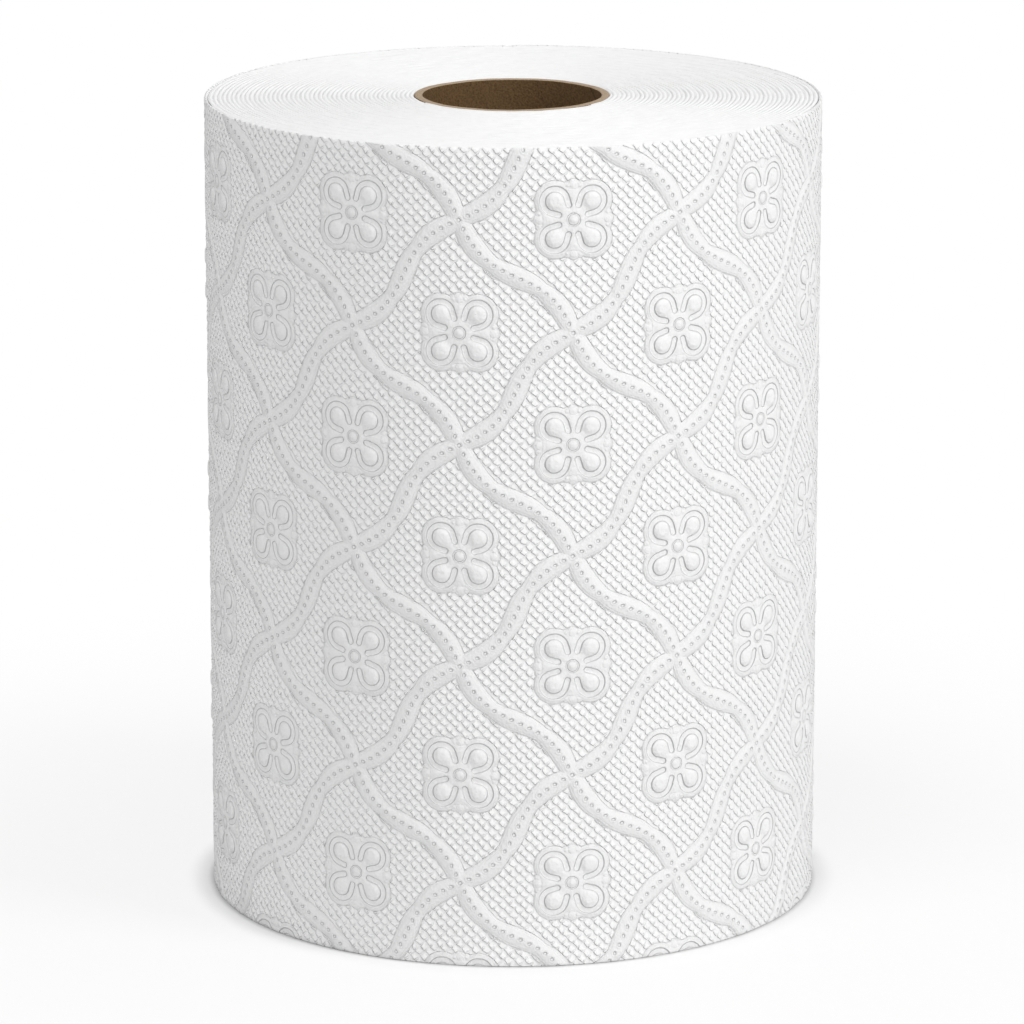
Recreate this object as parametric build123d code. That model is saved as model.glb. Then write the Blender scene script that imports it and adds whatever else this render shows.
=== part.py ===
from build123d import *
import math
import os

# Paper towel roll: an embossed paper web wound on a cardboard core, standing on its end.
# The origin is the middle of the underside, +Z is the axis of the core and the front faces -Y.
# The web winds inwards as a spiral from its tail, the straight edge of the last sheet, at the back.
# Angles go round the axis from the front, in radians, and rise towards +X.

# Driving dimensions of the roll
roll_height = 200.0
roll_radius = 76.5
turn_pitch = 1.12
core_radius = 24.0
core_wall = 2.0

# Edges of the turns on both ends: every second group of turns lies one step deeper
turns_in_group = 12
end_step = 0.4

# Embossing on the web: lengths along the web from the front, and heights from the underside
repeat = 54.0
emboss_depth = 0.7
band_width = 4.0
band_wave = 2.2
flower_radius = 9.3
first_flower_along = 14.5
first_flower_up = 20.9

# The wall is made of narrow flats, and the corners of the embossing lie on the edges between them
flats_in_repeat = 8

# How far a tool runs past the surfaces that it cuts
overrun = 1.0

# Corners of a petal, as shares of flower_radius: the notches beside it and its outer corners
notch_share = 0.74
tip_share = 0.30
shoulder_share = 0.93

full_turn = 2 * math.pi
wall_radius = roll_radius - turn_pitch / 2
flat_width = repeat / flats_in_repeat
flat_angle = flat_width / wall_radius
first_angle = first_flower_along / wall_radius
column_angle = repeat / 2 / wall_radius
tail_angle = first_angle + flat_angle * round((full_turn / 2 - first_angle) / flat_angle)
flats_to_front = round(tail_angle / flat_angle)
front_angle = tail_angle - flat_angle * flats_to_front


def turn_corners(inset):
    """Corners of one turn of the web, from the tail inwards, with its wall sunk by inset."""
    angles = [tail_angle - flat_angle * count for count in range(math.floor(full_turn / flat_angle) + 1)]
    corners = []
    for angle in angles + [tail_angle - full_turn]:
        radius = roll_radius - inset - turn_pitch * (tail_angle - angle) / full_turn
        corners.append((radius * math.sin(angle), -radius * math.cos(angle)))
    return corners


def turn_face(inset):
    """Face inside one turn of the web, closed by the tail edge."""
    return make_face(Polyline(*turn_corners(inset), close=True))


def both_halves(half):
    """A whole outline from the half to the right of its middle, turned half round to the left."""
    return half + [(-along, -up) for along, up in half]


def window_outline():
    """Corners of one window between the waved bands, along and up from the middle of its flower."""
    side = repeat / 2
    rise = side - band_width / math.sqrt(2)

    def wave(along):
        return math.sqrt(2) * band_wave * math.sin(full_turn * along / side)

    places = [flat_width * count for count in range(1, flats_in_repeat // 2)]
    upper = [(along, rise - along - wave(along)) for along in places]
    lower = [(along, along - rise - wave(along)) for along in reversed(places)]
    return both_halves([(0, rise)] + upper + [(rise, -wave(rise))] + lower)


def flower_outline():
    """Corners of one four-petal flower, along and up from its middle."""
    notch = notch_share * flower_radius
    tip = tip_share * flower_radius
    shoulder = shoulder_share * flower_radius
    upper = [(0, notch), (tip, flower_radius), (flat_width, shoulder), (flower_radius, tip)]
    lower = [(notch, 0), (flower_radius, -tip), (flat_width, -shoulder), (tip, -flower_radius)]
    return both_halves(upper + lower)


def tooth(outline):
    """Block over an outline on the wall, with sides that all point to one place on the axis."""
    bulge = roll_radius * (1 - math.cos(column_angle))
    rims = []
    for distance in (roll_radius - bulge - emboss_depth - overrun, roll_radius + overrun):
        rim = []
        for along, up in outline:
            angle = along / wall_radius
            rise = up * distance / (wall_radius * math.cos(angle))
            rim.append((distance * math.tan(angle), rise, distance))
        rims.append(rim)
    walls = [(*near, *far[::-1]) for near, far in zip(edges_of(rims[0]), edges_of(rims[1]))]
    return Solid(Shell([make_face(Polyline(*corners, close=True)).face() for corners in rims + walls]))


def edges_of(rim):
    """Each pair of neighbouring corners round a rim."""
    return list(zip(rim, rim[1:] + rim[:1]))


def window_places(first, last):
    """Angle and height of each flower whose window reaches between two angles."""
    low = math.floor((first - first_angle) / column_angle)
    high = math.ceil((last - first_angle) / column_angle)
    places = []
    for column in range(low, high + 1):
        up = first_flower_up - (column % 2) * repeat / 2
        while up < roll_height + repeat / 2:
            places.append((first_angle + column * column_angle, up))
            up += repeat
    return places


def window_pockets(first, last, corners):
    """What the embossing sinks between two angles, with corners the stretch of the wall there."""
    outer = turn_corners(-overrun)[corners]
    inner = turn_corners(emboss_depth)[corners]
    skin = extrude(make_face(Polyline(*outer, *reversed(inner), close=True)), roll_height + 2 * overrun)
    window = tooth(window_outline()) - tooth(flower_outline())
    blocks = []
    for angle, up in window_places(first, last):
        outward = (math.sin(angle), -math.cos(angle), 0)
        around = (math.cos(angle), math.sin(angle), 0)
        blocks.append(Plane(origin=(0, 0, up), x_dir=around, z_dir=outward) * window)
    return (Pos(0, 0, -overrun) * skin & Compound(blocks)).solids()


def sunk_groups():
    """Rings that leave every second group of turns one step deeper on both ends."""
    group = turns_in_group * turn_pitch
    rings = []
    inset = group
    while inset < roll_radius - core_radius:
        ring = extrude(turn_face(inset) - turn_face(inset + group), end_step)
        rings += [ring, Pos(0, 0, roll_height - end_step) * ring]
        inset += 2 * group
    return rings


def make_paper_roll():
    """The web: one turn of the spiral filled in, embossed, stepped on its ends and bored."""
    web = extrude(turn_face(0), roll_height)
    right = window_pockets(front_angle, tail_angle, slice(0, flats_to_front + 1))
    left = window_pockets(tail_angle - full_turn, front_angle, slice(flats_to_front, None))
    hole = Pos(0, 0, -overrun) * extrude(Circle(core_radius), roll_height + 2 * overrun)
    return web - right - left - sunk_groups() - hole


def make_cardboard_core():
    """The board tube that the web is wound on, flush with both ends."""
    return extrude(Circle(core_radius) - Circle(core_radius - core_wall), roll_height)


os.makedirs("parts", exist_ok=True)
export_step(make_paper_roll(), "parts/paper_roll.step")
export_step(make_cardboard_core(), "parts/cardboard_core.step")
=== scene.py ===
# %% [markdown]
# # A paper towel roll
#
# This lesson dresses a kitchen roll that stands on its end. The real thing is one long web of white
# embossed paper, wound on a tube of brown board. The engineering model gives its sizes. Here it gets
# its looks: the raised ribbons and flowers, the small pillows of the ground, the edges of the turns on
# both ends and the board of the tube. Lengths are in millimetres until a mesh is filled.

# %% Load the frame
import math

import bpy
import numpy as np
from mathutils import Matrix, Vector


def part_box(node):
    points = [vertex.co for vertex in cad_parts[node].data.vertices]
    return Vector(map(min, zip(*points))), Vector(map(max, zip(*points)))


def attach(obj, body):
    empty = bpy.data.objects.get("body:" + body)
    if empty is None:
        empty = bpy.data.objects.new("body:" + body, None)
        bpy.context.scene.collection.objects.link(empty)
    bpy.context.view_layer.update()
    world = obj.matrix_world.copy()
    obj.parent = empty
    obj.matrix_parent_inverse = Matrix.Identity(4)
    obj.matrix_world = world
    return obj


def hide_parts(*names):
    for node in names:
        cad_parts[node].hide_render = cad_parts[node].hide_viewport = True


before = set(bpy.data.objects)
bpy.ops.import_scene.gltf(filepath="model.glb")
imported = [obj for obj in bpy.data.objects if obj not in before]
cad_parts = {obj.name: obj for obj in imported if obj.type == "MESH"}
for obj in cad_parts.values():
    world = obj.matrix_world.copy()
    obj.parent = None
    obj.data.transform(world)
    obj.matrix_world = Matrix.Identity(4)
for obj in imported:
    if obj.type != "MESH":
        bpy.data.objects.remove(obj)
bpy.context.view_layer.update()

mm = 0.001
print("nodes in the frame:", sorted(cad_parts))

# %% [markdown]
# ## Sizes
#
# The roll's box gives its height, and its furthest point at the back is the tail, where the last sheet
# ends. From there the web winds inwards by one pitch a turn, so the wall is a spiral and not a circle.
# A place on the wall has two numbers: how far along the web it lies from the front, and how far up.

# %% Sizes of the roll and its web
roll_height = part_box("paper_roll")[1][2] / mm
tail_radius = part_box("paper_roll")[1][1] / mm
core_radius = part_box("cardboard_core")[1][0] / mm
core_wall = 2.0
turn_pitch = 1.12
wall_radius = tail_radius - turn_pitch / 2
turn_length = 2 * math.pi * wall_radius

repeat = 54.0
flower_along = 14.5
flower_up = 20.9
tail_step = repeat / 8
tail_along = flower_along + tail_step * round((turn_length / 2 - flower_along) / tail_step)


def turn_radius(along):
    """Radius of the outermost turn at a length along the web from the front."""
    return tail_radius - turn_pitch * (tail_along - along) / turn_length


def wound(along, radius, up):
    """Places of the flat web once it is wound round the axis."""
    angle = along / wall_radius
    return np.stack([radius * np.sin(angle), -radius * np.cos(angle), up], axis=-1)


print(f"roll {roll_height:.1f} high, {2 * wall_radius:.1f} across, tail at {tail_along:.1f} along the web")

# %% [markdown]
# ## One sum for the mesh and for the finish
#
# The embossing is needed twice. The mesh needs it as numbers at each of its points, and the finish
# needs it as nodes, so that edges finer than the mesh stay crisp. To write it once, each step of the
# formula works on both: given numbers it works them out, and given a wire from a shader it adds a
# node. Plus, minus, times and divided by do so by themselves on a Wire, and maths() does the rest.

# %% Sums that work on numbers and on shader wires
worked_out = {
    "SINE": np.sin,
    "COSINE": np.cos,
    "SQRT": np.sqrt,
    "ABSOLUTE": np.abs,
    "MINIMUM": np.minimum,
    "MAXIMUM": np.maximum,
    "GREATER_THAN": lambda value, bar: np.where(value > bar, 1.0, 0.0),
    "WRAP": lambda value, high, low: low + (value - low) % (high - low),
}


class Wire:
    """A number that changes over a surface, carried by a socket in a shader."""

    def __init__(self, tree, socket):
        self.tree = tree
        self.socket = socket

    def __add__(self, other):
        return maths("ADD", self, other)

    def __radd__(self, other):
        return maths("ADD", other, self)

    def __sub__(self, other):
        return maths("SUBTRACT", self, other)

    def __rsub__(self, other):
        return maths("SUBTRACT", other, self)

    def __mul__(self, other):
        return maths("MULTIPLY", self, other)

    def __rmul__(self, other):
        return maths("MULTIPLY", other, self)

    def __truediv__(self, other):
        return maths("DIVIDE", self, other)

    def __neg__(self):
        return maths("MULTIPLY", self, -1.0)


def maths(operation, *values):
    """One step of a sum: worked out for numbers, a Math node as soon as one value is a wire."""
    wires = [value for value in values if isinstance(value, Wire)]
    if not wires:
        return worked_out[operation](*values)
    tree = wires[0].tree
    node = tree.nodes.new("ShaderNodeMath")
    node.operation = operation
    for place, value in zip(node.inputs, values):
        if isinstance(value, Wire):
            tree.links.new(value.socket, place)
        else:
            place.default_value = value
    return Wire(tree, node.outputs[0])


def sine(value):
    return maths("SINE", value)


def cosine(value):
    return maths("COSINE", value)


def size_of(value):
    return maths("ABSOLUTE", value)


def least(first, second):
    return maths("MINIMUM", first, second)


def most(first, second):
    return maths("MAXIMUM", first, second)


def reach(first, second):
    """Length of a step that goes first one way and second the other."""
    if not isinstance(first, Wire):
        return np.hypot(first, second)
    corner = first.tree.nodes.new("ShaderNodeCombineXYZ")
    first.tree.links.new(first.socket, corner.inputs["X"])
    first.tree.links.new(second.socket, corner.inputs["Y"])
    length = first.tree.nodes.new("ShaderNodeVectorMath")
    length.operation = "LENGTH"
    first.tree.links.new(corner.outputs["Vector"], length.inputs[0])
    return Wire(first.tree, length.outputs["Value"])


def ease(value, low, high):
    """Rises smoothly from 0 at low to 1 at high."""
    if not isinstance(value, Wire):
        share = np.clip((value - low) / (high - low), 0.0, 1.0)
        return share * share * (3.0 - 2.0 * share)
    step = value.tree.nodes.new("ShaderNodeMapRange")
    step.interpolation_type = "SMOOTHSTEP"
    value.tree.links.new(value.socket, step.inputs["Value"])
    step.inputs["From Min"].default_value = low
    step.inputs["From Max"].default_value = high
    return Wire(value.tree, step.outputs["Result"])


print("sums ready:", len(worked_out))

# %% [markdown]
# ## The ribbons
#
# Two families of ribbons run along the diagonals and cross halfway between the flowers. Measured along
# the diagonals the whole pattern is a plain square lattice, so a place is first turned into its two
# diagonal lengths. Each ribbon waves once between two crossings, which gives the windows their
# curved outline, and its edges are three shallow bows with a small notch between two of them.

# %% Lattice and ribbons
side = repeat / math.sqrt(2)
wave_rate = 2 * math.pi / side
ribbon_bend = 2.2
ribbon_half_width = 1.8
ribbon_bow = 0.65
bows_in_side = 3


def diagonals(along, up):
    """Lengths along both diagonals from the middle of a flower: up to the right, and up to the left."""
    over = along - flower_along
    above = up - flower_up
    return (above + over) / math.sqrt(2), (above - over) / math.sqrt(2)


def off_middle(across, length, bend):
    """Distance from the middle line of the nearest ribbon that runs along length."""
    slope = bend * wave_rate * cosine(wave_rate * length)
    off = maths("WRAP", across - side / 2 + bend * sine(wave_rate * length), side / 2, -side / 2)
    return off / maths("SQRT", 1.0 + slope * slope)


def ribbons_at(right_up, left_up):
    """Distance off the middle and place along, for both families of ribbons."""
    falling = (off_middle(right_up, left_up, ribbon_bend), left_up)
    rising = (off_middle(left_up, right_up, -ribbon_bend), right_up)
    return falling, rising


def ribbon_edge(right_up, left_up):
    """Distance outside the nearest ribbon, below zero on the ribbon."""
    edges = []
    for off, length in ribbons_at(right_up, left_up):
        bow = size_of(cosine(bows_in_side / 2 * wave_rate * length))
        half_width = ribbon_half_width + ribbon_bow * bow
        edges.append(size_of(off) - half_width)
    return least(*edges)


print(f"ribbons {side:.2f} apart")

# %% [markdown]
# ## The flowers
#
# A flower has four petals on the diagonals, so one petal is enough: any place near a flower is folded
# onto it by taking the larger and the smaller of its two diagonal lengths. The pad under the flower is
# a lobe for each petal, a disc that joins them and small scallops between two lobes. A sunk channel
# runs round each petal like a horseshoe, open towards the middle, where a small boss lies in a ring.

# %% Flower pad, channel and boss
lobe_out = 6.37
lobe_radius = 4.7
disc_radius = 7.9
# Each scallop: how far out, how far aside, and its radius.
scallops = ((5.75, 5.75, 1.4), (6.8, 4.7, 0.9))
petal_out = 6.29
channel_radius = 2.9
channel_half_width = 0.65
channel_end_out = -3.0
channel_end_aside = 1.66
boss_radius = 1.3
ring_radius = 1.45

# The horseshoe's straight legs touch its round part, so this is where a tangent from their ends lands.
end_reach = math.hypot(channel_end_out, channel_end_aside)
end_turn = math.atan2(channel_end_aside, channel_end_out) - math.acos(channel_radius / end_reach)
touch_out = channel_radius * math.cos(end_turn)
touch_aside = channel_radius * math.sin(end_turn)


def folded(right_up, left_up):
    """Place on a petal: out from the flower's middle, and aside from the petal's middle line."""
    first = size_of(maths("WRAP", right_up, side / 2, -side / 2))
    second = size_of(maths("WRAP", left_up, side / 2, -side / 2))
    return most(first, second), least(first, second)


def flower_edge(out, aside):
    """Distance outside the flower's pad, below zero on it."""
    edge = least(reach(out - lobe_out, aside) - lobe_radius, reach(out, aside) - disc_radius)
    for scallop_out, scallop_aside, radius in scallops:
        edge = least(edge, reach(out - scallop_out, aside - scallop_aside) - radius)
    return edge


def channel_edge(out, aside):
    """Distance outside the channel round a petal, below zero in it."""
    beyond = out - petal_out
    round_part = size_of(reach(beyond, aside) - channel_radius)
    leg_out = channel_end_out - touch_out
    leg_aside = channel_end_aside - touch_aside
    along_leg = (beyond - touch_out) * leg_out + (aside - touch_aside) * leg_aside
    share = least(most(along_leg / (leg_out**2 + leg_aside**2), 0.0), 1.0)
    leg = reach(beyond - touch_out - share * leg_out, aside - touch_aside - share * leg_aside)
    on_round = maths("GREATER_THAN", beyond * touch_aside - aside * touch_out, 0.0)
    return leg + on_round * (round_part - leg) - channel_half_width


print(f"horseshoe turns through {2 * math.degrees(end_turn):.0f} degrees")

# %% [markdown]
# ## The pillows of the ground
#
# Between the ribbons the paper is pressed into small pillows, 21 to a lattice side. Each has a long
# face that falls gently to the upper right from a steep lower left side, and thin gaps lie between them.
# Two waves whose lengths fit no pillow shift the edges and the heights a little, so that no two pillows
# are quite alike.

# %% Pillows
pillows_in_side = 21
pillow_length = side / pillows_in_side
steep_side = (0.05, 0.2)
gentle_top = 1.35
gentle_fall = 1.6
pillow_end = (0.12, 0.55)
uneven_side = 0.06
uneven_end = 0.15
uneven_height = 0.16


def pillow(right_up, left_up):
    """About one along the upper edge of a pillow, zero beside it."""
    first_wave = sine(1.37 * right_up + 2.11 * left_up)
    second_wave = sine(2.53 * right_up - 1.21 * left_up + 1.0)
    across = maths("WRAP", right_up / pillow_length + uneven_side * first_wave, 1.0, 0.0)
    lengthways = size_of(sine(math.pi / pillow_length * left_up + uneven_end * second_wave))
    face = least(ease(across, *steep_side), most(gentle_top - gentle_fall * across, 0.0))
    return face * ease(lengthways, *pillow_end) * (1.0 + uneven_height * (first_wave + second_wave))


print(f"pillows {pillow_length:.2f} long")

# %% [markdown]
# ## The whole relief
#
# The relief puts it all together: zero is the outside of the web, the ribbons and flowers reach it,
# and the ground, the channels and the dots lie lower. Shoulders are eased, because pressed paper has no
# sharp corners, and along each edge runs a bead, where the press squeezes the paper up.

# %% Relief of the web
emboss_depth = 0.45
pillow_height = 0.36
petal_height = 0.32
petal_slope = (0.3, 2.0)
boss_height = 0.25
boss_slope = (0.0, 1.1)
channel_depth = 0.5
channel_slope = (-0.24, 0.16)
raised_slope = (-0.14, 0.16)
ground_slope = (0.12, 0.4)
edge_drop = 0.22
edge_slope = (-0.8, 0.0)
dome_drop = 0.16
dome_slope = (-2.2, -0.2)

# Finer than the mesh: dots along the ribbons, the ring round the boss, beads, and a trench beside edges.
dots_in_side = 17
dot_radius = 0.54
dot_depth = 0.45
dot_floor = 0.2
dot_bead_out = 0.8
dot_bead_height = 0.06
ring_depth = 0.3
ring_half_width = 0.3
ring_floor = 0.08
bead_in = 0.25
bead_height = 0.07
bead_half_width = 0.22
trench_depth = 0.1
trench_half_width = 0.15


def dot_off(right_up, left_up):
    """Distance from the nearest of the dots along the middle of the ribbons."""
    nearest = []
    half_step = side / dots_in_side / 2
    for off, length in ribbons_at(right_up, left_up):
        nearest.append(reach(off, maths("WRAP", length - side / 2, half_step, -half_step)))
    return least(*nearest)


def line_at(off, half_width, flat=0.0):
    """One on a thin line and as far as flat beside it, then down to zero at half_width."""
    return ease(-size_of(off), -half_width, -flat)


def relief(along, up, fine):
    """Height of the embossed web. With fine come the parts that are finer than the mesh."""
    right_up, left_up = diagonals(along, up)
    out, aside = folded(right_up, left_up)
    raised = least(ribbon_edge(right_up, left_up), flower_edge(out, aside))
    petal = petal_height * ease(channel_radius - reach(out - petal_out, aside), *petal_slope)
    boss = boss_height * ease(boss_radius - reach(out, aside), *boss_slope)
    channel = channel_depth * ease(-channel_edge(out, aside), *channel_slope)
    shoulder = edge_drop * ease(raised, *edge_slope) + dome_drop * ease(raised, *dome_slope)
    top = petal + boss - channel - shoulder
    ground = pillow_height * pillow(right_up, left_up) * ease(raised, *ground_slope) - emboss_depth
    if fine:
        ground = ground - trench_depth * line_at(raised - trench_half_width, trench_half_width)
        dot = dot_off(right_up, left_up)
        top = top - dot_depth * ease(-dot, -dot_radius, -dot_floor)
        top = top + dot_bead_height * line_at(dot - dot_bead_out, bead_half_width)
        top = top - ring_depth * line_at(reach(out, aside) - ring_radius, ring_half_width, ring_floor)
        top = top + bead_height * line_at(raised + bead_in, bead_half_width)
    return top + (ground - top) * ease(raised, *raised_slope)


sample = relief(np.linspace(0, repeat, 400), np.linspace(0, repeat, 300)[:, None], False)
print(f"relief from {sample.min():.2f} to {sample.max():.2f}")

# %% [markdown]
# ## The wall
#
# The wall starts as flat grids, like paper on a table, in which each square is a quarter of a pillow.
# Points close to an edge of the pattern are first pulled onto it, so that ribbons and flowers have clean
# outlines, and the points of each pillow are spread towards its gaps. Then the relief is pressed in and
# the sheet is wound. The mesh takes 0.7 of the relief, which keeps the roll's outline calm, and the
# finish adds the rest as bump. The upper and lower margins roll over the rim and dip into the gap behind
# the outermost turn, and the last columns turn in at the tail. Each third of the wall is a piece of its
# own, and all three take their normals from the whole, so that no seam shows between them.

# %% Grid of the web
grid_step = pillow_length / 4 * math.sqrt(2)
rim_radius = 0.55
edge_margin = 0.3
pull_reach = 0.29
spread_share = 0.07
spread_slope = (0.35, 0.8)
first_row = math.ceil((rim_radius - flower_up) / grid_step)
last_row = math.floor((roll_height - rim_radius - flower_up) / grid_step)
rows_up = flower_up + grid_step * np.arange(first_row, last_row + 1)
web_start = tail_along - turn_length
first_column = math.ceil((web_start - flower_along) / grid_step + edge_margin)
last_column = math.floor((tail_along - flower_along) / grid_step - edge_margin)
columns_along = flower_along + grid_step * np.arange(first_column, last_column + 1)
columns_along = np.array([web_start, *columns_along, tail_along])


def pulled(edge, along, up):
    """Moves the places near an edge onto it, straight down the slope of their distance."""
    small = 0.01
    distance = edge(*diagonals(along, up))
    slope_along = (edge(*diagonals(along + small, up)) - distance) / small
    slope_up = (edge(*diagonals(along, up + small)) - distance) / small
    move = np.where(abs(distance) < pull_reach, distance / (slope_along**2 + slope_up**2), 0.0)
    return along - move * slope_along, up - move * slope_up


flat_along, flat_up = np.meshgrid(columns_along, rows_up, indexing="ij")
inner = (slice(1, -1), slice(1, -1))
edges = (
    ribbon_edge,
    lambda right_up, left_up: flower_edge(*folded(right_up, left_up)),
    lambda right_up, left_up: channel_edge(*folded(right_up, left_up)),
)
for edge in edges:
    flat_along[inner], flat_up[inner] = pulled(edge, flat_along[inner], flat_up[inner])


def spread(length):
    """Moves the points of a pillow away from its middle, so that its face is wide and its gaps thin."""
    return length - spread_share * pillow_length * np.sin(2 * math.pi * length / pillow_length)


right_up, left_up = diagonals(flat_along, flat_up)
free = np.minimum(ribbon_edge(right_up, left_up), flower_edge(*folded(right_up, left_up)))
free = ease(free, *spread_slope)
right_up = right_up + free * (spread(right_up) - right_up)
left_up = left_up + free * (spread(left_up) - left_up)
flat_along[inner] = (flower_along + (right_up - left_up) / math.sqrt(2))[inner]
flat_up[inner] = (flower_up + (right_up + left_up) / math.sqrt(2))[inner]
print(f"web of {len(columns_along)} by {len(rows_up)} points, {grid_step:.3f} apart")

# %% Rim, tail and winding
mesh_share = 0.7
# Each step over the rim: how far it lies inside the wall, and how far below the end of the roll.
over_rim = []
for turn in (0.5, 1.0, 1.57):
    over_rim.append((rim_radius * (1 - math.cos(turn)), rim_radius * (1 - math.sin(turn))))
into_gap = [(0.78, 0.04), (0.97, 0.3), (1.08, 0.9)]
# Each step round the tail's edge: how far on along the web, and how far in.
round_tail = [(0.12, 0.08), (0.22, 0.3), (0.2, 0.75), (0.05, 1.25)]

height = mesh_share * relief(flat_along, flat_up, False)
wall_along = [flat_along]
wall_in = [-height]
wall_up = [flat_up]
for inset, drop in over_rim + into_gap:
    fade = max(0.0, 1 - inset / rim_radius)
    low_row = np.full_like(flat_up[:, :1], drop)
    wall_along = [flat_along[:, :1], *wall_along, flat_along[:, -1:]]
    wall_in = [inset - fade * height[:, :1], *wall_in, inset - fade * height[:, -1:]]
    wall_up = [low_row, *wall_up, roll_height - low_row]
wall_along, wall_in, wall_up = (np.concatenate(rows, axis=1) for rows in (wall_along, wall_in, wall_up))
last_in, last_up = wall_in[-1:], wall_up[-1:]
for onward, inset in round_tail:
    wall_along = np.concatenate([wall_along, np.full_like(last_in, tail_along + onward)])
    wall_in = np.concatenate([wall_in, np.maximum(last_in, inset)])
    wall_up = np.concatenate([wall_up, last_up])
wall_places = wound(wall_along, turn_radius(wall_along) - wall_in, wall_up)
wall_normals = np.cross(np.gradient(wall_places, axis=0), np.gradient(wall_places, axis=1))
wall_normals /= np.linalg.norm(wall_normals, axis=-1, keepdims=True) + 1e-12
print("wall points:", wall_places.shape[:2])

# %% Three pieces of wall


def grid_piece(name, places, normals, flat):
    """A grid of points as a smooth piece, with its flat places as the UV map, in metres."""
    columns, rows = places.shape[:2]
    bpy.ops.object.select_all(action="DESELECT")
    bpy.ops.mesh.primitive_grid_add(x_subdivisions=columns - 1, y_subdivisions=rows - 1, size=2)
    piece = bpy.context.object
    piece.name = name
    mesh = piece.data
    mesh.vertices.foreach_set("co", (places * mm).transpose(1, 0, 2).ravel())
    corners = np.empty(len(mesh.loops), int)
    mesh.loops.foreach_get("vertex_index", corners)
    mesh.uv_layers[0].name = "web"
    mesh.uv_layers[0].data.foreach_set("uv", (flat * mm).transpose(1, 0, 2).reshape(-1, 2)[corners].ravel())
    mesh.update()
    bpy.ops.object.shade_smooth()
    if normals is not None:
        mesh.normals_split_custom_set_from_vertices(normals.transpose(1, 0, 2).reshape(-1, 3).tolist())
    return piece


paper_pieces = []
columns = wall_places.shape[0]
cuts = [0, round(columns / 3), round(columns * 2 / 3), columns - 1]
for name, first, last in zip(("wall_left", "wall_front", "wall_right"), cuts, cuts[1:]):
    part = slice(first, last + 1)
    flat = np.stack([wall_along[part], wall_up[part]], axis=-1)
    piece = grid_piece(name, wall_places[part], wall_normals[part], flat)
    paper_pieces.append(piece)
    print(name, "faces:", len(piece.data.polygons))

# %% [markdown]
# ## The ends
#
# On both ends show the edges of some 46 turns. They are one spiral ridge, so each end is a grid whose
# columns go round and whose rows go in, four to a turn: one in the narrow gap and three on the edge of
# the sheet. After a full round the rows meet those of the next turn and are merged, which makes one
# unbroken spiral, so whatever changes from turn to turn is counted along the web from the tail. No
# sheet edge is quite level: height, gap and radius drift along the web, by waves whose lengths don't
# fit each other, and groups of turns lie a little deeper, as they slip when the roll is wound.

# %% Spiral of the ends
end_columns = 480
turn_shares = (0.0, 0.17, 0.5, 0.83)
most_turns = math.ceil((tail_radius - core_radius) / turn_pitch)
outer_start = 0.93
gap_half_share = 0.2
gap_depth = 0.42
mean_opening = 0.8
opening_drift = 0.2
level_drift = 0.04
slow_shift = 0.04
quick_shift = 0.02
calm_turns = 1.2
turns_in_group = 12
group_depth = 0.12
end_sunk = 0.08
core_overlap = 0.05
core_drop = 0.9
chance = np.random.default_rng(7)


def drift(turns, rates):
    """Uneven wave along the web, from about -1 to 1, with rates in waves a turn."""
    phases = chance.uniform(0, 2 * math.pi, len(rates))
    waves = [np.sin(2 * math.pi * rate * turns + phase) for rate, phase in zip(rates, phases)]
    return sum(waves) / math.sqrt(len(rates))


def end_places():
    """Places of one end, by column and row, with height below the end face."""
    inward = [outer_start] + [turn + share for turn in range(1, most_turns) for share in turn_shares]
    along = np.linspace(tail_along - turn_length, tail_along, end_columns + 1)
    along, inward = np.meshgrid(along, inward, indexing="ij")
    turns = np.floor(inward + 0.01) - along / turn_length
    from_tail = inward + (tail_along - along) / turn_length
    gap = np.clip(1 - abs((inward + 0.5) % 1 - 0.5) / gap_half_share, 0, 1)
    open_gap = np.clip(mean_opening + opening_drift * drift(turns, (9.3, 17.7, 31.1)), 0.4, 1.0)
    level = level_drift * drift(turns, (1.3, 5.7, 12.9, 23.3))
    group = 0.5 - 0.5 * np.cos(math.pi * from_tail / turns_in_group)
    inside = np.clip((from_tail - calm_turns) / 2, 0, 1)
    depth = gap_depth * open_gap * gap + inside * (end_sunk - level + group_depth * group)
    shift = slow_shift * drift(turns, (2.3, 7.1, 14.9)) + quick_shift * drift(turns, (19.3, 27.7))
    radius = turn_radius(along) - turn_pitch * inward + inside * shift
    in_core = radius < core_radius + core_overlap
    radius = np.where(in_core, core_radius + core_overlap, radius)
    depth = np.where(in_core, core_drop, depth)
    return along, inward, radius, depth


for name, top in (("end_top", True), ("end_base", False)):
    along, inward, radius, depth = end_places()
    up = roll_height - depth if top else depth
    places = wound(along, radius, up)
    flat = np.stack([along, inward * turn_pitch], axis=-1)
    piece = grid_piece(name, places, None, flat)
    bpy.ops.object.mode_set(mode="EDIT")
    bpy.ops.mesh.select_all(action="SELECT")
    bpy.ops.mesh.remove_doubles(threshold=0.002 * mm)
    if not top:
        bpy.ops.mesh.flip_normals()
    bpy.ops.object.mode_set(mode="OBJECT")
    paper_pieces.append(piece)
    print(name, "faces:", len(piece.data.polygons))

# %% [markdown]
# ## The board tube
#
# The core is wound from strips of brown board. It starts as a plain open cylinder, which gets its wall
# from Solidify and its soft, slightly crushed rims from Bevel. The points of both rims then sink by
# different amounts, because a saw cut through fibre board is never quite level.

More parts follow.
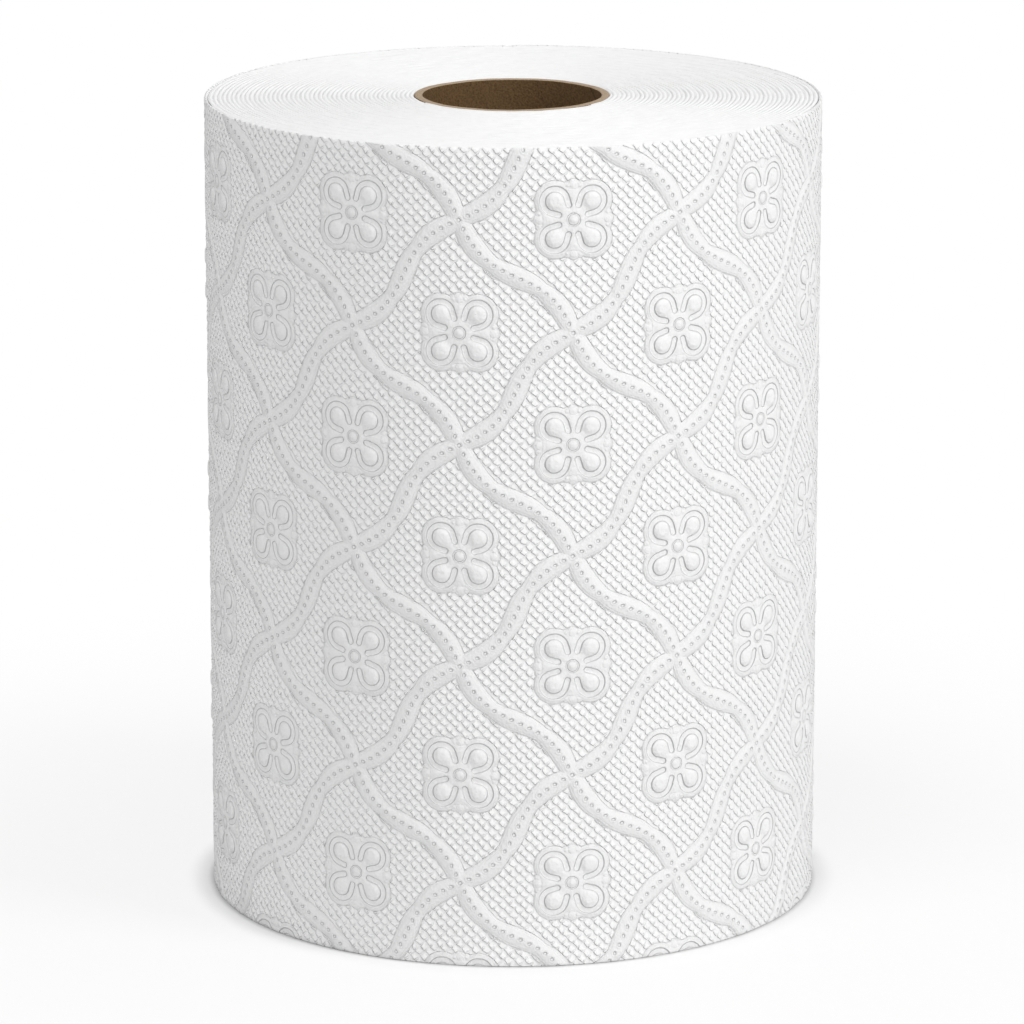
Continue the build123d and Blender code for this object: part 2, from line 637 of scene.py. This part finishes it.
# %% Board tube
rim_bevel = 0.25
rim_uneven = 0.04
bpy.ops.object.select_all(action="DESELECT")
bpy.ops.mesh.primitive_cylinder_add(
    vertices=256, radius=core_radius * mm, depth=roll_height * mm,
    end_fill_type="NOTHING", location=(0, 0, roll_height / 2 * mm),
)
board_tube = bpy.context.object
board_tube.name = "board_tube"
bpy.ops.object.transform_apply(location=True, rotation=True, scale=True)
wall = board_tube.modifiers.new("wall", "SOLIDIFY")
wall.thickness = core_wall * mm
wall.offset = -1
rim = board_tube.modifiers.new("rim", "BEVEL")
rim.width = rim_bevel * mm
rim.segments = 3
rim.angle_limit = math.radians(40)
for modifier in (wall.name, rim.name):
    bpy.ops.object.modifier_apply(modifier=modifier)

for point in board_tube.data.vertices:
    turned = math.atan2(point.co.y, point.co.x)
    uneven = math.sin(3 * turned + 0.8) + 0.6 * math.sin(8 * turned + 2.1) + 0.3 * math.sin(23 * turned)
    sunk = rim_uneven * (1.9 + uneven) * mm
    if point.co.z > (roll_height - 1) * mm:
        point.co.z -= sunk
    elif point.co.z < 1 * mm:
        point.co.z += sunk
bpy.ops.object.shade_smooth_by_angle(angle=math.radians(50))
print("board_tube faces:", len(board_tube.data.polygons))

# %% [markdown]
# ## Finish of the paper
#
# Tissue is matt, white and slightly felted. Its finish has two effects, each a node group: fibres, a
# fine uneven nap that the board needs too, and on the wall the same relief as in the mesh, now in nodes
# and with its finest parts. Along edges, channels and dots the paper is painted a little whiter: a
# painted highlight along the edges, and painted light in the channels and dots, where shade falls. It
# stands in for the light that shines through thin, stretched paper from the other side of the fold.

# %% Node helpers


def new_group(name, takes, gives):
    """An empty node group with named number or vector sockets."""
    group = bpy.data.node_groups.new(name, "ShaderNodeTree")
    for direction, sockets in (("INPUT", takes), ("OUTPUT", gives)):
        for title, kind in sockets:
            group.interface.new_socket(title, in_out=direction, socket_type=kind)
    start = group.nodes.new("NodeGroupInput")
    end = group.nodes.new("NodeGroupOutput")
    return group, start, end


def add_node(tree, kind, links=(), **settings):
    """A node with its settings, its values by socket name, and its incoming links."""
    node = tree.nodes.new(kind)
    for title, value in settings.items():
        setattr(node, title, value)
    for socket, value in dict(links).items():
        if isinstance(value, bpy.types.NodeSocket):
            tree.links.new(value, node.inputs[socket])
        elif isinstance(value, Wire):
            tree.links.new(value.socket, node.inputs[socket])
        else:
            node.inputs[socket].default_value = value
    return node


def placed(tree, group, links):
    """A node group placed in a material, with its values and links."""
    return add_node(tree, "ShaderNodeGroup", links, node_tree=group)


vector = "NodeSocketVector"
number = "NodeSocketFloat"
print("kinds of socket:", vector, "and", number)

# %% Fibres
fibres, start, end = new_group("fibres", [("Place", vector), ("Scale", number)], [("Height", number)])
nap_links = {"Vector": start.outputs["Place"], "Scale": start.outputs["Scale"], "Detail": 2.0}
nap = add_node(fibres, "ShaderNodeTexNoise", nap_links)
fibres.links.new(nap.outputs["Fac"], end.inputs["Height"])
print("fibres group:", len(fibres.nodes), "nodes")

# %% Embossing
gives = [("Height", number), ("Painted light", number)]
embossing, start, end = new_group("embossing", [("Web", vector)], gives)
apart = add_node(embossing, "ShaderNodeSeparateXYZ", {"Vector": start.outputs["Web"]})
along = Wire(embossing, apart.outputs["X"]) / mm
up = Wire(embossing, apart.outputs["Y"]) / mm
height = relief(along, up, True)
right_up, left_up = diagonals(along, up)
out, aside = folded(right_up, left_up)
raised = least(ribbon_edge(right_up, left_up), flower_edge(out, aside))
# Painted light: a painted highlight along the edges of ribbons and pads, and painted light in and beside
# the channels and dots, where the paper is painted whiter.
painted_channel_light = line_at(channel_edge(out, aside), 0.35, 0.1)
painted_dot_light = ease(-dot_off(right_up, left_up), -dot_radius, -0.25)
painted_edge_highlight = ease(raised, -0.4, -0.05)
painted_light = most(most(painted_edge_highlight, painted_channel_light), painted_dot_light)
for title, value in {"Height": height, "Painted light": painted_light}.items():
    embossing.links.new(value.socket, end.inputs[title])
print("embossing group:", len(embossing.nodes), "nodes")

# %% Paper of the wall
# The whiter colour is painted light, used where the painted-light mask is one.
painted_light_white = (0.935, 0.935, 0.933, 1)
face_white = (0.885, 0.885, 0.883, 1)
fine_share = 1.1
felt_share = 0.22


def new_material(name, roughness, **values):
    """A material with a Principled shader and the values that are the same all over."""
    material = bpy.data.materials.new(name)
    material.use_nodes = True
    shader = material.node_tree.nodes["Principled BSDF"]
    shader.inputs["Roughness"].default_value = roughness
    for title, value in values.items():
        shader.inputs[title.replace("_", " ")].default_value = value
    return material, material.node_tree, shader


def blended(tree, share, first, second):
    """Colour between two others, by a share that changes over the surface."""
    mix = add_node(tree, "ShaderNodeMix", {0: share, 6: first, 7: second}, data_type="RGBA")
    return mix.outputs[2]


embossed_paper, tree, shader = new_material("embossed_paper", 0.92, Specular_IOR_Level=0.25)
web = add_node(tree, "ShaderNodeUVMap", uv_map="web")
place = add_node(tree, "ShaderNodeTexCoord")
pressed = placed(tree, embossing, {"Web": web.outputs["UV"]})
felt = placed(tree, fibres, {"Place": place.outputs["Object"], "Scale": 1500.0})
pressed_height = fine_share * Wire(tree, pressed.outputs["Height"])
height = pressed_height + felt_share * Wire(tree, felt.outputs["Height"])
bump = add_node(tree, "ShaderNodeBump", {"Height": height, "Distance": mm, "Strength": 1.0})
white = blended(tree, pressed.outputs["Painted light"], face_white, painted_light_white)
tree.links.new(white, shader.inputs["Base Color"])
tree.links.new(bump.outputs["Normal"], shader.inputs["Normal"])
print("embossed_paper:", len(tree.nodes), "nodes")

# %% [markdown]
# ## Finish of the ends
#
# The cut edges of the sheets are looser than their faces. Fibres lie along the web, so the nap is
# stretched that way. The gaps between the turns are painted grey, a painted shade for the little light
# that comes back from them, and the grey also differs at random along the strands.

# %% Paper of the ends
edge_white = (0.95, 0.95, 0.95, 1)
# Grey of the painted shade in the gaps, and of the random tone along the strands.
painted_shade_and_fibre_grey = (0.87, 0.87, 0.87, 1)
strand_share = 0.2
edge_paper, tree, shader = new_material("edge_paper", 0.95, Specular_IOR_Level=0.2)
web = add_node(tree, "ShaderNodeUVMap", uv_map="web")
stretched = add_node(tree, "ShaderNodeMapping", {"Vector": web.outputs["UV"], "Scale": (0.15, 1.0, 1.0)})
strands = placed(tree, fibres, {"Place": stretched.outputs["Vector"], "Scale": 1600.0})
height = strand_share * Wire(tree, strands.outputs["Height"])
bump = add_node(tree, "ShaderNodeBump", {"Height": height, "Distance": mm, "Strength": 1.0})
uneven = ease(Wire(tree, strands.outputs["Height"]), 0.3, 0.6)
apart = add_node(tree, "ShaderNodeSeparateXYZ", {"Vector": web.outputs["UV"]})
off_gap = size_of(maths("WRAP", Wire(tree, apart.outputs["Y"]) / (turn_pitch * mm), 0.5, -0.5))
# Painted shade: the gaps between the turns are painted grey, and the grey also differs at random along the
# strands.
painted_shade_and_fibre_tone = (1.0 - uneven) * 0.4 + (1.0 - ease(off_gap, 0.04, 0.16)) * (0.4 + uneven)
white = blended(tree, painted_shade_and_fibre_tone, edge_white, painted_shade_and_fibre_grey)
tree.links.new(white, shader.inputs["Base Color"])
tree.links.new(bump.outputs["Normal"], shader.inputs["Normal"])
print("edge_paper:", len(tree.nodes), "nodes")

# %% [markdown]
# ## Finish of the board
#
# Unbleached board is brown and fibrous. The liner on the inside is darker than the cut edge, where the
# layers of the strips show as fine rings, and its brown is painted darker still, a painted shade for the
# dark inside of the tube. The strips wind up the tube, so a seam climbs its inside.

# %% Board
layer_thickness = 0.5
layer_tone = 0.06
strip_rise = 96.0
seam_tone = 0.3
seam_depth = 0.1
board_nap = 0.15


def board_material(name, dark, pale):
    """Matt fibre board between two browns, with its layers and the climbing seam."""
    material, tree, shader = new_material(name, 0.85, Specular_IOR_Level=0.25)
    place = add_node(tree, "ShaderNodeTexCoord")
    felt = placed(tree, fibres, {"Place": place.outputs["Object"], "Scale": 2200.0})
    apart = add_node(tree, "ShaderNodeSeparateXYZ", {"Vector": place.outputs["Object"]})
    x, y, z = (Wire(tree, apart.outputs[title]) / mm for title in "XYZ")
    layers = cosine(2 * math.pi / layer_thickness * (reach(x, y) - core_radius))
    turned = maths("ARCTAN2", y, x) / (2 * math.pi)
    off_seam = size_of(maths("WRAP", z - strip_rise * turned, strip_rise / 2, -strip_rise / 2))
    seam = 1.0 - ease(off_seam, 0.1, 0.5)
    grey = Wire(tree, felt.outputs["Height"]) + layer_tone * layers - seam_tone * seam
    ramp = add_node(tree, "ShaderNodeValToRGB", {"Fac": grey})
    ramp.color_ramp.elements[0].position = 0.3
    ramp.color_ramp.elements[0].color = (*dark, 1)
    ramp.color_ramp.elements[1].position = 0.7
    ramp.color_ramp.elements[1].color = (*pale, 1)
    height = board_nap * Wire(tree, felt.outputs["Height"]) - seam_depth * seam
    bump = add_node(tree, "ShaderNodeBump", {"Height": height, "Distance": mm, "Strength": 1.0})
    tree.links.new(ramp.outputs["Color"], shader.inputs["Base Color"])
    tree.links.new(bump.outputs["Normal"], shader.inputs["Normal"])
    return material


# The liner's browns are partly painted shade: darker than the board is, for the shade inside the tube.
liner_with_painted_shade = board_material("liner_with_painted_shade", (0.08, 0.042, 0.016), (0.165, 0.098, 0.042))
cut_board = board_material("cut_board", (0.36, 0.26, 0.17), (0.50, 0.39, 0.28))
print("finishes of the board:", liner_with_painted_shade.name, "and", cut_board.name)

# %% [markdown]
# ## From pieces to nodes
#
# The three walls and the two ends stand for the wound web of the engineering model, and the tube stands
# for its core. Nothing moves on a roll, so every piece rides on the one root body. The tube has two
# finishes: faces that look up or down are cut board, and the rest is liner.

# %% Give the pieces their finish
for piece in paper_pieces:
    finish = embossed_paper if piece.name.startswith("wall") else edge_paper
    piece.data.materials.append(finish)
    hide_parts("paper_roll")
    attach(piece, "root")
for finish in (liner_with_painted_shade, cut_board):
    board_tube.data.materials.append(finish)
for face in board_tube.data.polygons:
    face.material_index = 1 if abs(face.normal.z) > 0.3 else 0
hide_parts("cardboard_core")
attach(board_tube, "root")
print("pieces of paper:", len(paper_pieces))

# %% [markdown]
# ## Studio
#
# The photograph has a white floor with a soft shadow close round the roll, and it was taken with a long
# lens from a little above. The camera sees most of the floor as glowing paper, so that it is as white as
# the page, and near the roll its true shadow shows. Under the roll and in a narrow ring round its edge the
# floor's colour is dark grey, a painted contact shadow. Soft light comes from a lamp on the right, a high
# one on the left, a weak one in front and an even white world.

# %% Floor
# Painted contact shadow: the floor is painted dark grey under the roll, fading out just past its edge.
painted_shadow_inside = 2.0
painted_shadow_outside = 1.6
near_shade = 0.65
near_shade_width = 7.0
wide_shade = 0.25
wide_shade_width = 220.0
bpy.ops.object.select_all(action="DESELECT")
bpy.ops.mesh.primitive_plane_add(size=12, location=(0, 0, 0))
floor = bpy.context.object
floor.name = "floor"
painted_contact_shadow = (0.2, 0.2, 0.2, 1)
open_floor = (0.9, 0.9, 0.9, 1)
floor_with_painted_shadow, tree, shader = new_material("floor_with_painted_shadow", 1.0, Specular_IOR_Level=0.0)
place = add_node(tree, "ShaderNodeTexCoord")
apart = add_node(tree, "ShaderNodeSeparateXYZ", {"Vector": place.outputs["Object"]})
off_axis = reach(Wire(tree, apart.outputs["X"]), Wire(tree, apart.outputs["Y"])) / mm
outside = ease(off_axis, wall_radius - painted_shadow_inside, wall_radius + painted_shadow_outside)
floor_colour_with_painted_shadow = blended(tree, outside, painted_contact_shadow, open_floor)
tree.links.new(floor_colour_with_painted_shadow, shader.inputs["Base Color"])
paper_glow = add_node(tree, "ShaderNodeEmission", {"Color": (1, 1, 1, 1), "Strength": 1.0})
light_path = add_node(tree, "ShaderNodeLightPath")
seen = Wire(tree, light_path.outputs["Is Camera Ray"])
near_share = near_shade * (1.0 - ease(off_axis, wall_radius, wall_radius + near_shade_width))
wide_share = wide_shade * (1.0 - ease(off_axis, wall_radius, wall_radius + wide_shade_width))
glow_share = seen * (1.0 - near_share - wide_share)
mixed = add_node(tree, "ShaderNodeMixShader", {"Fac": glow_share})
tree.links.new(shader.outputs[0], mixed.inputs[1])
tree.links.new(paper_glow.outputs[0], mixed.inputs[2])
tree.links.new(mixed.outputs[0], tree.nodes["Material Output"].inputs["Surface"])
floor.data.materials.append(floor_with_painted_shadow)
print("floor_with_painted_shadow:", len(tree.nodes), "nodes")

# %% Camera
camera_data = bpy.data.cameras.new("camera")
camera = bpy.data.objects.new("camera", camera_data)
bpy.context.scene.collection.objects.link(camera)
bpy.context.scene.camera = camera
camera_data.lens = 195.0
camera_data.sensor_width = 36.0
camera_data.clip_end = 20.0
look_down = math.radians(13.9)
camera_distance = 18.273 * wall_radius * mm
aim_up = 1.241 * wall_radius * mm
camera.location = (
    0,
    -camera_distance * math.cos(look_down),
    aim_up + camera_distance * math.sin(look_down),
)
camera.rotation_euler = (math.pi / 2 - look_down, 0, 0)
print(f"camera {camera_distance:.2f} m away, looking down {math.degrees(look_down):.1f} degrees")

# %% Lamps
def softbox(name, place, aim, size, power):
    """A square area lamp that faces a place."""
    lamp_data = bpy.data.lights.new(name, "AREA")
    lamp_data.size = size
    lamp_data.energy = power
    lamp = bpy.data.objects.new(name, lamp_data)
    bpy.context.scene.collection.objects.link(lamp)
    lamp.location = place
    lamp.rotation_euler = (lamp.location - Vector(aim)).to_track_quat("Z", "Y").to_euler()
    return lamp


roll_middle = (0, 0, roll_height / 2 * mm)
softbox("key_lamp", (1.5, -0.8, 1.3), roll_middle, 0.7, 17.6)
softbox("high_lamp", (-0.4, -0.6, 2.0), roll_middle, 0.6, 10.4)
softbox("front_lamp", (-0.1, -1.7, 1.2), roll_middle, 0.6, 3.0)
world = bpy.data.worlds.new("studio") if bpy.context.scene.world is None else bpy.context.scene.world
bpy.context.scene.world = world
world.use_nodes = True
background = world.node_tree.nodes["Background"]
background.inputs["Color"].default_value = (1, 1, 1, 1)
background.inputs["Strength"].default_value = 0.445
bpy.context.scene.view_settings.view_transform = "Standard"
